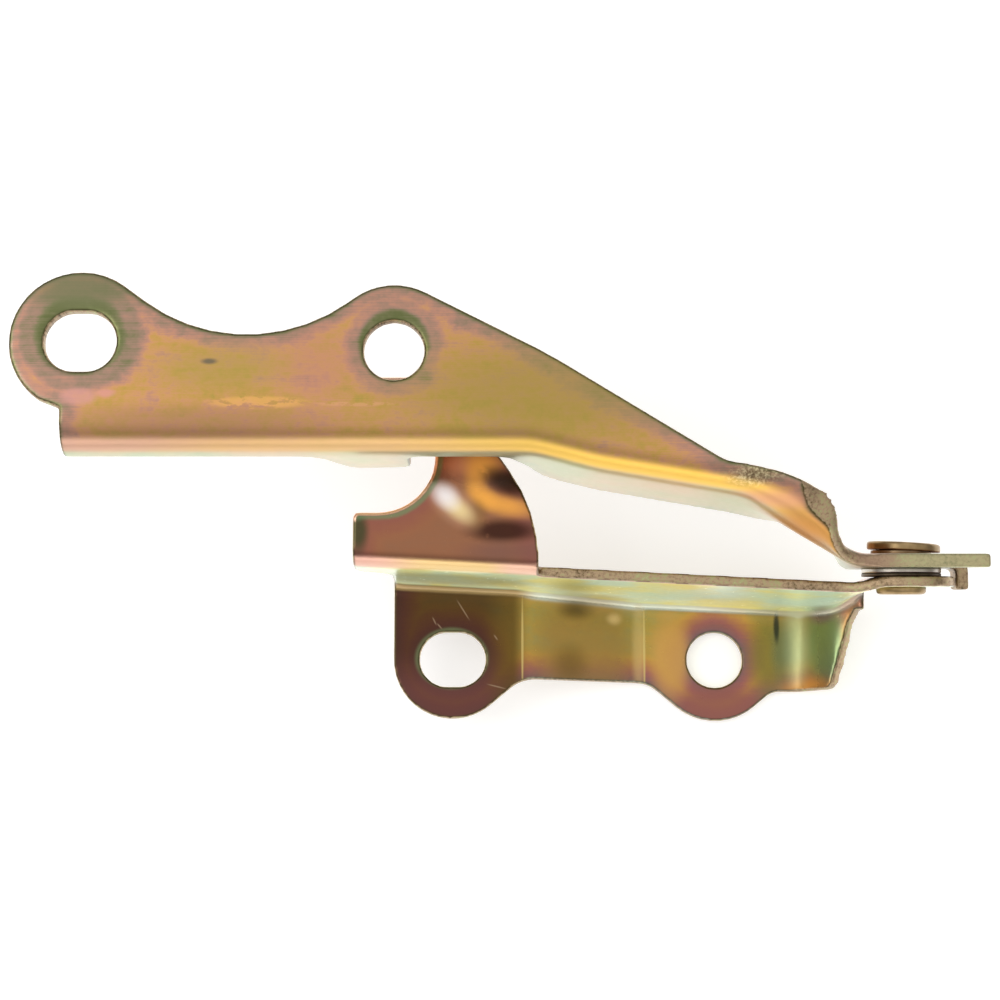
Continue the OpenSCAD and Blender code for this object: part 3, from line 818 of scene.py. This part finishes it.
def bracket_ramp(plate):
    # olive, with the painted dark reflection of a dent, painted shade at the upper end, the painted
    # highlight of a knuckle and a painted highlight along the lower bend
    plate.daub(rgb(150, 120, 66), (-27, 2, 6), (12, 12, 7), 0.4, 0.7)
    plate.daub(rgb(64, 52, 28), (-28.6, 9.4, 5.2), (3.4, 1.8, 4), 0.7, 0.8)
    plate.daub(rgb(104, 84, 38), (-29.5, -1.4, 6), (3.4, 3.6, 4), 0.7, 0.6)
    plate.daub(rgb(232, 196, 136), (-20.4, 7.9, 3), (1.5, 1.1, 2), 0.7, 0.8)
    plate.daub(rgb(206, 178, 116), (-15.2, 3, 2.2), (1.2, 9, 2), 0.6, 0.5)
    # light lines where the feet are bent: painted highlights of the bends
    for place, height in ((-38.4, 11.9), (-14.0, 2.1)):
        plate.daub(rgb(212, 188, 120), (place, 2, height), (0.22, 8.6, 1.2), 0.4, 0.65)


def on_hook(plate):
    return plate.span(plate.z, 29.0, 31.0)


def at_mouth(plate):
    return plate.product(on_hook(plate), plate.span(plate.x, -48.5, -51.5), plate.span(plate.y, 22.0, 23.5))


def hook_top(plate):
    """Mauve, with a painted pink highlight on its bend."""
    top = plate.product(on_hook(plate), plate.span(plate.facing[2], 0.6, 0.85), 0.85)
    plate.cover(top, rgb(146, 92, 76))
    # the painted highlight on the bend
    bend = plate.product(
        plate.span(plate.z, 27.5, 29.0), plate.span(plate.facing[1], -0.45, -0.7),
        plate.span(plate.facing[2], 0.02, 0.32))
    gleam = plate.fade(
        plate.x, rgb(244, 188, 166),
        (-66.0, -56.0, rgb(247, 208, 140)),
        (-46.0, -40.0, rgb(249, 198, 170)))
    plate.cover(plate.product(bend, 0.9), gleam)


def hook_mirror(plate):
    """Painted reflections: the bright and dark shapes of what the hook mirrors."""
    # a green end, and a painted pink and orange reflection that reaches from the arm to the right
    plate.daub(rgb(62, 72, 46), (-69.2, 20.5, HOOK), (2.0, 4, 4), 0.4, 0.85)
    plate.daub(rgb(226, 150, 112), (-50.4, 32.6, HOOK_DIP), (3.4, 3, 4), 0.6, 0.75)
    glow = (
        (-46.0, 33.2, (3.2, 2.6, 4), 0), (-47.4, 29.8, (1.9, 3.2, 4), 0),
        (-45.6, 27.0, (2.8, 1.8, 4), -40), (-41.6, 25.4, (5.4, 1.9, 4), -12))
    for across, along, radii, turn in glow:
        plate.daub(rgb(255, 180, 80), (across, along, HOOK_DIP), radii, 0.7, 0.9, turn)
    # painted dark reflections on either side of it, ragged at the left
    ragged = plate.math(
        "MAXIMUM", plate.span(plate.noise(420, 3, 0.65), 0.34, 0.46), plate.span(plate.x, -46.6, -44.4))
    plate.daub(rgb(48, 30, 18), (-41.6, 29.7, HOOK_DIP), (5.6, 2.7, 4), 0.35, 0.92, -27, ragged)
    plate.daub(rgb(56, 32, 28), (-42.2, 20.6, HOOK), (6.9, 2.3, 4), 0.4, 0.9, 0, ragged)
    plate.daub(rgb(130, 100, 44), (-47.6, 23.8, HOOK), (2.0, 2.4, 4), 0.7, 0.6)
    plate.daub(rgb(122, 86, 80), (-41.5, 16.8, HOOK), (8, 2.0, 4), 0.6, 0.6)
    plate.daub(rgb(40, 25, 12), (-48.9, 30.1, HOOK_DIP), (0.16, 0.7, 2), 0.4, 0.8, -14)
    # a painted white highlight on a painted cream and tan reflection
    plate.daub(rgb(214, 166, 132), (-51.6, 25.8, HOOK), (4.8, 2.4, 4), 0.8, 0.75, -44)
    plate.daub(rgb(255, 236, 170), (-50.6, 24.8, HOOK), (2.8, 1.5, 3), 0.9, 0.8, -40)
    plate.daub(rgb(255, 252, 255), (-52.9, 27.2, 33.5), (2.9, 2.0, 3), 0.7, 1.0, -48)


def hook_marks(plate):
    """Scratches, and a green line inside the mouth's edge."""
    scratches = ((-58.3, 18.3, 1.0, -50), (-53.2, 16.9, 1.4, -10), (-51.6, 16.7, 0.8, -30))
    for across, along, length, turn in scratches:
        plate.scratch(rgb(178, 160, 140), (across, along, HOOK), length, turn, 0.6)
    line = plate.product(at_mouth(plate), plate.span(plate.edge, 0.5, 0.9), plate.span(plate.edge, 2.0, 1.2))
    plate.cover(plate.product(line, 0.6), rgb(112, 146, 104))


def bracket_trim(plate):
    """The painted highlight on the edge of the hook's mouth."""
    plate.cover(plate.product(at_mouth(plate), plate.span(plate.edge, 0.8, 0.45)), rgb(250, 206, 178))


def bracket_dull(plate):
    """The web scatters most, and the part of the hook that lies below the arm."""
    below = plate.product(plate.spot((-46, 33, HOOK_DIP), (7.5, 4.5, 4), 0.5), 0.95)
    return plate.math("MAXIMUM", plate.front(0.95), below)


def bracket_blur(plate):
    """The bend of the end panel is softer."""
    return plate.product(plate.spot((16.8, 3, 2), (3.5, 14, 4), 0.6), 0.3)


def turned_metal(name, first, second, rough):
    """Patchy metal of two shades, with fine marks of turning."""
    graph = Graph(bpy.data.materials.new(name))
    colour = graph.fade(graph.noise(260, 3, 0.6), first, (0.3, 0.7, second))
    fine = graph.noise(1, 3, 0.6, graph.stretch((900, 4200, 900)))
    roughness = graph.total(graph.product(fine, 0.2), rough - 0.1)
    return graph.metal(colour, roughness, 1.0, graph.bump(fine, 0.2, 0.04 * MM))


def dress(piece, material):
    piece.data.materials.clear()
    piece.data.materials.append(material)


dress(arm, plating(
    "arm_plate", arm_film, ARM_STOPS, rough=0.34, streak=0.36, mottle=1.0,
    layers=(arm_web, arm_flange, arm_wear, arm_run_out), trim=arm_trim, dull=arm_dull))
dress(bracket, plating(
    "bracket_plate", bracket_film, BRACKET_STOPS, rough=0.24, streak=0.2, mottle=0.3,
    layers=(bracket_web, right_foot, end_panel, left_foot, bracket_fold, bracket_ramp,
            hook_top, hook_mirror, hook_marks),
    trim=bracket_trim, dull=bracket_dull, blur=bracket_blur))
dress(rivet, turned_metal("rivet_plate", rgb(136, 114, 80), rgb(172, 146, 106), 0.36))
dress(bush, turned_metal("bush_steel", rgb(176, 168, 158), rgb(198, 192, 182), 0.32))
dress(thrust, turned_metal("thrust_steel", rgb(70, 62, 50), rgb(104, 92, 76), 0.42))
dress(head_ring, turned_metal("head_ring_steel", rgb(120, 98, 74), rgb(150, 128, 98), 0.38))


# Studio: a white floor, a pale surround and one soft lamp. Places and sizes are in metres.
FLOOR_CENTRE = Vector((-0.04, 0.02, -0.0006))
FLOOR_HALF = 3.0
FLOOR_COLOUR = (0.82, 0.82, 0.81, 1)
FLOOR_GLOW = (1, 0.995, 0.98, 1)
FLOOR_LIFT = 0.45
SHEET_CENTRE = (-0.042, 0.0, -0.0006)
SHEET_NEAR = 0.14
SHEET_FAR = 0.36
SHEET_BRIGHT = 1.6
SHEET_DIM = 0.25
SKY_COLOUR = (1, 0.995, 0.985, 1)
SKY_TOP = 1.0
SKY_LOW = 0.3
SKY_FRONT = 0.6
CARD = 2.0
LAMP_AT = Vector((-0.70, 0.10, 0.75))
LAMP_TARGET = Vector((-0.042, 0.028, 0.02))
LAMP_WIDTH = 0.5
LAMP_HEIGHT = 0.6
LAMP_POWER = 2.0


def floor_material():
    graph = Graph(bpy.data.materials.new("floor_white"))
    path = graph.node("LightPath").outputs
    diffuse = graph.node("BsdfDiffuse")
    diffuse.inputs["Color"].default_value = FLOOR_COLOUR
    # for the camera the floor also glows a little, so that it is white with a soft shadow
    glow = graph.node("Emission")
    glow.inputs["Color"].default_value = FLOOR_GLOW
    graph.put(glow.inputs["Strength"], graph.product(path["Is Camera Ray"], FLOOR_LIFT))
    white = graph.node("AddShader")
    graph.put(white.inputs[0], diffuse.outputs[0])
    graph.put(white.inputs[1], glow.outputs[0])
    # in the metal it is a pale sheet that ends a hand's width away
    away = graph.node("VectorMath")
    away.operation = "DISTANCE"
    graph.put(away.inputs[0], graph.place)
    away.inputs[1].default_value = SHEET_CENTRE
    sheet = graph.node("Emission")
    strength = graph.span(away.outputs["Value"], SHEET_NEAR, SHEET_FAR, SHEET_BRIGHT, SHEET_DIM)
    graph.put(sheet.inputs["Strength"], strength)
    return graph.end(graph.choose(path["Is Glossy Ray"], white.outputs[0], sheet.outputs[0]))


def surround(world):
    """Bright overhead, greyer at the sides, greyest in front, with a low white card there."""
    graph = Graph(world, "Generated")
    path = graph.node("LightPath").outputs
    side = graph.axes(graph.place)
    height = graph.span(side[2], 0.0, 0.85, SKY_LOW, SKY_TOP)
    front = graph.span(side[1], -0.35, -0.75, 1.0, SKY_FRONT)
    card = graph.product(graph.span(side[2], 0.42, 0.30, 0.0, CARD), graph.span(side[1], -0.45, -0.7))
    sky = graph.node("Background")
    sky.inputs["Color"].default_value = SKY_COLOUR
    graph.put(sky.inputs["Strength"], graph.math("MAXIMUM", graph.product(height, front), card))
    # the camera sees plain white
    white = graph.node("Background")
    white.inputs["Color"].default_value = (1, 1, 1, 1)
    graph.end(graph.choose(path["Is Camera Ray"], sky.outputs[0], white.outputs[0]), "OutputWorld")


floor_mesh = bpy.data.meshes.new("floor")
floor_corners = []
for across, along in ((-1, -1), (1, -1), (1, 1), (-1, 1)):
    floor_corners.append(FLOOR_CENTRE + Vector((across, along, 0)) * FLOOR_HALF)
floor_mesh.from_pydata(floor_corners, [], [(0, 1, 2, 3)])
floor = new_piece("floor", floor_mesh)
dress(floor, floor_material())

scene.world = bpy.data.worlds.new("studio")
surround(scene.world)

lamp_data = bpy.data.lights.new("left_box", "AREA")
lamp_data.shape = "RECTANGLE"
lamp_data.size = LAMP_WIDTH
lamp_data.size_y = LAMP_HEIGHT
lamp_data.energy = LAMP_POWER
lamp = new_piece("left_box", lamp_data)
lamp.location = LAMP_AT
lamp.rotation_euler = (LAMP_TARGET - LAMP_AT).to_track_quat("-Z", "Y").to_euler()
